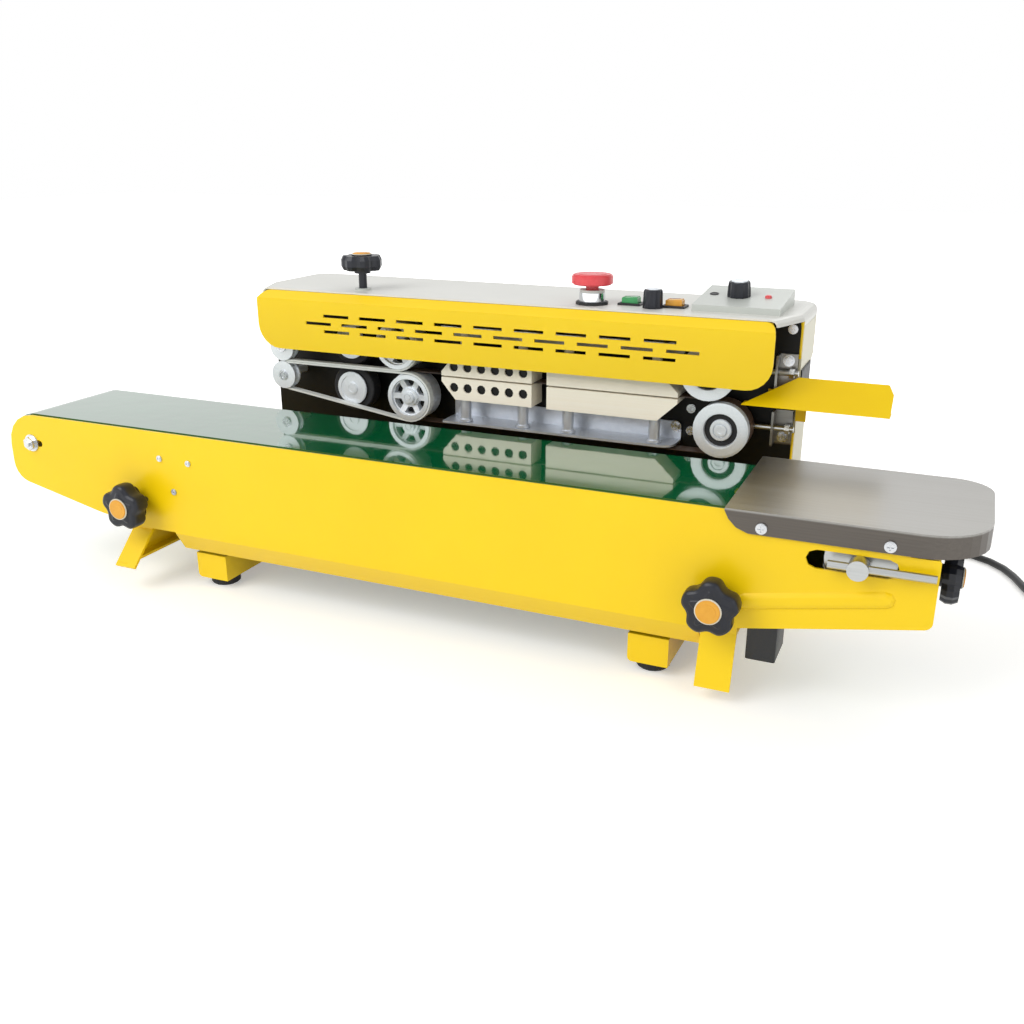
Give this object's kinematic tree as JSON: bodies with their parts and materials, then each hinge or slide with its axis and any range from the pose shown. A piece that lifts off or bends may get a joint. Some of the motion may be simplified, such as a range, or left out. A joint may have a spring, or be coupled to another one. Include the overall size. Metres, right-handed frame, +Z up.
{
  "type": "continuous band sealer",
  "caption": "Tabletop continuous band sealer: belt conveyor with end tray in front of a sealing head with wheels, bands, heating and cooling blocks, guard, controls and power cord.",
  "frame": {"origin": "middle of the footprint of the whole machine, on the surface it stands on", "axes": "+X along the conveyor towards the stainless end tray, +Y away from the operator towards the housing, +Z up"},
  "size_m": [1.0751, 0.4389, 0.303],
  "materials": {
    "yellow_paint": "gloss powder coat",
    "stainless": "brushed",
    "aluminium": "machined",
    "black_paint": "satin",
    "pale_grey_paint": "satin",
    "belt_green": "smooth",
    "band_brown": "coated",
    "guide_grey": "matt",
    "black_rubber": "matt",
    "black_plastic": "satin",
    "block_tan": "anodised",
    "red_plastic": "gloss",
    "green_plastic": "gloss",
    "orange_plastic": "gloss",
    "cord_black": "satin"
  },
  "bodies": {
    "base": {"base_frame": "yellow_paint", "rubber_foot_front_left": "black_rubber", "rubber_foot_front_right": "black_rubber", "rubber_foot_rear_left": "black_rubber", "rubber_foot_rear_right": "black_rubber", "support_arm_left": "yellow_paint", "support_arm_right": "yellow_paint", "rear_housing": "pale_grey_paint", "mounting_plate": "black_paint", "top_panel": "pale_grey_paint", "front_cover": "yellow_paint", "inlet_guide": "yellow_paint", "lower_rail": "stainless", "upper_rail": "stainless", "tension_bracket_lower": "stainless", "tension_bracket_upper": "stainless", "seal_band_lower": "band_brown", "seal_band_upper": "band_brown", "guide_belt_lower": "guide_grey", "guide_belt_upper": "guide_grey", "heating_block_lower": "block_tan", "cooling_block_lower": "block_tan", "drive_motor": "black_paint", "power_cord": "cord_black", "cord_coil": "cord_black", "cord_gland": "black_rubber", "plug": "cord_black"},
    "conveyor": {"conveyor_front_panel": "yellow_paint", "conveyor_rear_panel": "yellow_paint", "belt_bed": "stainless", "conveyor_belt": "belt_green", "end_tray": "stainless", "conveyor_motor": "black_paint"},
    "drive_roller": {"drive_roller": "stainless"},
    "motor_pinion": {"motor_pinion": "stainless"},
    "roller_tensioner": {"roller_tensioner": "stainless"},
    "tension_roller": {"tension_roller": "stainless"},
    "clamp_knob_left": {"clamp_knob_left": "black_plastic"},
    "clamp_knob_right": {"clamp_knob_right": "black_plastic"},
    "end_knob": {"end_knob": "black_plastic"},
    "spoked_wheel_lower": {"spoked_wheel_lower": "aluminium"},
    "spoked_wheel_upper": {"spoked_wheel_upper": "aluminium"},
    "band_tensioner_lower": {"band_tensioner_lower": "stainless"},
    "band_tensioner_upper": {"band_tensioner_upper": "stainless"},
    "right_wheel_lower": {"right_wheel_lower": "aluminium"},
    "right_wheel_upper": {"right_wheel_upper": "aluminium"},
    "guide_pulley_lower": {"guide_pulley_lower": "aluminium"},
    "guide_pulley_upper": {"guide_pulley_upper": "aluminium"},
    "press_wheel_lower": {"press_wheel_lower": "black_rubber"},
    "press_carriage": {"press_carriage": "stainless"},
    "press_wheel_upper": {"press_wheel_upper": "black_rubber"},
    "heating_block_upper": {"heating_block_upper": "block_tan"},
    "cooling_block_upper": {"cooling_block_upper": "block_tan"},
    "cooling_fan": {"cooling_fan": "black_plastic"},
    "pressure_knob": {"pressure_knob": "black_plastic"},
    "estop_button": {"estop_button": "red_plastic"},
    "speed_knob": {"speed_knob": "black_plastic"},
    "temperature_dial": {"temperature_dial": "black_plastic"},
    "power_rocker": {"power_rocker": "green_plastic"},
    "heater_rocker": {"heater_rocker": "orange_plastic"}
  },
  "joints": [
    {"name": "conveyor_lift", "type": "slide", "parent": "base", "child": "conveyor", "axis": [0, 0, 1], "range_m": [0, 0.02]},
    {"name": "drive_roller_spin", "type": "hinge", "parent": "conveyor", "child": "drive_roller", "pos_m": [-0.419, -0.066, 0.127], "axis": [0, 1, 0], "continuous": true},
    {"name": "motor_pinion_spin", "type": "hinge", "parent": "conveyor", "child": "motor_pinion", "pos_m": [-0.3754, -0.015, 0.127], "axis": [0, 1, 0], "continuous": true},
    {"name": "roller_tension_slide", "type": "slide", "parent": "conveyor", "child": "roller_tensioner", "axis": [1, 0, 0], "range_m": [-0.02, 0]},
    {"name": "tension_roller_spin", "type": "hinge", "parent": "roller_tensioner", "child": "tension_roller", "pos_m": [0.365, -0.066, 0.127], "axis": [0, 1, 0], "continuous": true},
    {"name": "clamp_left_turn", "type": "hinge", "parent": "conveyor", "child": "clamp_knob_left", "pos_m": [-0.288, -0.129, 0.0855], "axis": [0, 1, 0], "range_deg": [0, 720]},
    {"name": "clamp_right_turn", "type": "hinge", "parent": "conveyor", "child": "clamp_knob_right", "pos_m": [0.267, -0.129, 0.0855], "axis": [0, 1, 0], "range_deg": [0, 720]},
    {"name": "end_knob_turn", "type": "hinge", "parent": "conveyor", "child": "end_knob", "pos_m": [0.4108, -0.084, 0.1115], "axis": [1, 0, 0], "range_deg": [-360, 360]},
    {"name": "spoked_wheel_lower_spin", "type": "hinge", "parent": "base", "child": "spoked_wheel_lower", "pos_m": [-0.0837, 0.05, 0.1697], "axis": [0, 1, 0], "continuous": true},
    {"name": "spoked_wheel_upper_spin", "type": "hinge", "parent": "base", "child": "spoked_wheel_upper", "pos_m": [-0.0957, 0.05, 0.2193], "axis": [0, 1, 0], "continuous": true},
    {"name": "band_tension_lower", "type": "slide", "parent": "base", "child": "band_tensioner_lower", "axis": [1, 0, 0], "range_m": [-0.008, 0], "stiffness_N_per_m": 600, "springref_m": 0.008},
    {"name": "band_tension_upper", "type": "slide", "parent": "base", "child": "band_tensioner_upper", "axis": [1, 0, 0], "range_m": [-0.008, 0], "stiffness_N_per_m": 600, "springref_m": 0.008},
    {"name": "right_wheel_lower_spin", "type": "hinge", "parent": "band_tensioner_lower", "child": "right_wheel_lower", "pos_m": [0.2263, 0.045, 0.1697], "axis": [0, 1, 0], "continuous": true},
    {"name": "right_wheel_upper_spin", "type": "hinge", "parent": "band_tensioner_upper", "child": "right_wheel_upper", "pos_m": [0.2123, 0.045, 0.2193], "axis": [0, 1, 0], "continuous": true},
    {"name": "guide_pulley_lower_spin", "type": "hinge", "parent": "base", "child": "guide_pulley_lower", "pos_m": [-0.229, 0.05, 0.1801], "axis": [0, 1, 0], "continuous": true},
    {"name": "guide_pulley_upper_spin", "type": "hinge", "parent": "base", "child": "guide_pulley_upper", "pos_m": [-0.229, 0.05, 0.2089], "axis": [0, 1, 0], "continuous": true},
    {"name": "press_wheel_lower_spin", "type": "hinge", "parent": "base", "child": "press_wheel_lower", "pos_m": [-0.153, 0.05, 0.171], "axis": [0, 1, 0], "continuous": true},
    {"name": "press_carriage_lift", "type": "slide", "parent": "base", "child": "press_carriage", "axis": [0, 0, 1], "range_m": [0, 0.002], "stiffness_N_per_m": 1500, "springref_m": -0.004},
    {"name": "press_wheel_upper_spin", "type": "hinge", "parent": "press_carriage", "child": "press_wheel_upper", "pos_m": [-0.153, 0.05, 0.218], "axis": [0, 1, 0], "continuous": true},
    {"name": "heating_block_lift", "type": "slide", "parent": "base", "child": "heating_block_upper", "axis": [0, 0, 1], "range_m": [0, 0.002], "stiffness_N_per_m": 1200, "springref_m": -0.004},
    {"name": "cooling_block_lift", "type": "slide", "parent": "base", "child": "cooling_block_upper", "axis": [0, 0, 1], "range_m": [0, 0.002], "stiffness_N_per_m": 1200, "springref_m": -0.004},
    {"name": "cooling_fan_spin", "type": "hinge", "parent": "base", "child": "cooling_fan", "pos_m": [0.001, 0.077, 0.1945], "axis": [0, 1, 0], "continuous": true},
    {"name": "pressure_knob_turn", "type": "hinge", "parent": "base", "child": "pressure_knob", "pos_m": [-0.1425, 0.053, 0.285], "axis": [0, 0, 1], "range_deg": [-720, 720]},
    {"name": "estop_press", "type": "slide", "parent": "base", "child": "estop_button", "axis": [0, 0, 1], "range_m": [-0.004, 0], "stiffness_N_per_m": 1500, "springref_m": 0.001},
    {"name": "speed_knob_turn", "type": "hinge", "parent": "base", "child": "speed_knob", "pos_m": [0.154, 0.054, 0.2688], "axis": [0, 0, 1], "range_deg": [-150, 150]},
    {"name": "temperature_dial_turn", "type": "hinge", "parent": "base", "child": "temperature_dial", "pos_m": [0.223, 0.086, 0.2788], "axis": [0, -0.1104, 0.9939], "range_deg": [-150, 150]},
    {"name": "power_rocker_tilt", "type": "hinge", "parent": "base", "child": "power_rocker", "pos_m": [0.1305, 0.066, 0.27], "axis": [0, 1, 0], "range_deg": [-14, 0]},
    {"name": "heater_rocker_tilt", "type": "hinge", "parent": "base", "child": "heater_rocker", "pos_m": [0.171, 0.066, 0.27], "axis": [0, 1, 0], "range_deg": [-14, 0]}
  ],
  "couplings": [
    {"joint": "spoked_wheel_upper_spin", "follows": "spoked_wheel_lower_spin", "ratio": -1},
    {"joint": "right_wheel_lower_spin", "follows": "spoked_wheel_lower_spin", "ratio": 1},
    {"joint": "right_wheel_upper_spin", "follows": "spoked_wheel_lower_spin", "ratio": -1},
    {"joint": "guide_pulley_lower_spin", "follows": "spoked_wheel_lower_spin", "ratio": 1.7761},
    {"joint": "guide_pulley_upper_spin", "follows": "spoked_wheel_lower_spin", "ratio": -1.7761},
    {"joint": "press_wheel_lower_spin", "follows": "spoked_wheel_lower_spin", "ratio": 1.0556},
    {"joint": "press_wheel_upper_spin", "follows": "spoked_wheel_lower_spin", "ratio": -1.0556},
    {"joint": "motor_pinion_spin", "follows": "drive_roller_spin", "ratio": -1.0588},
    {"joint": "tension_roller_spin", "follows": "drive_roller_spin", "ratio": 1}
  ]
}
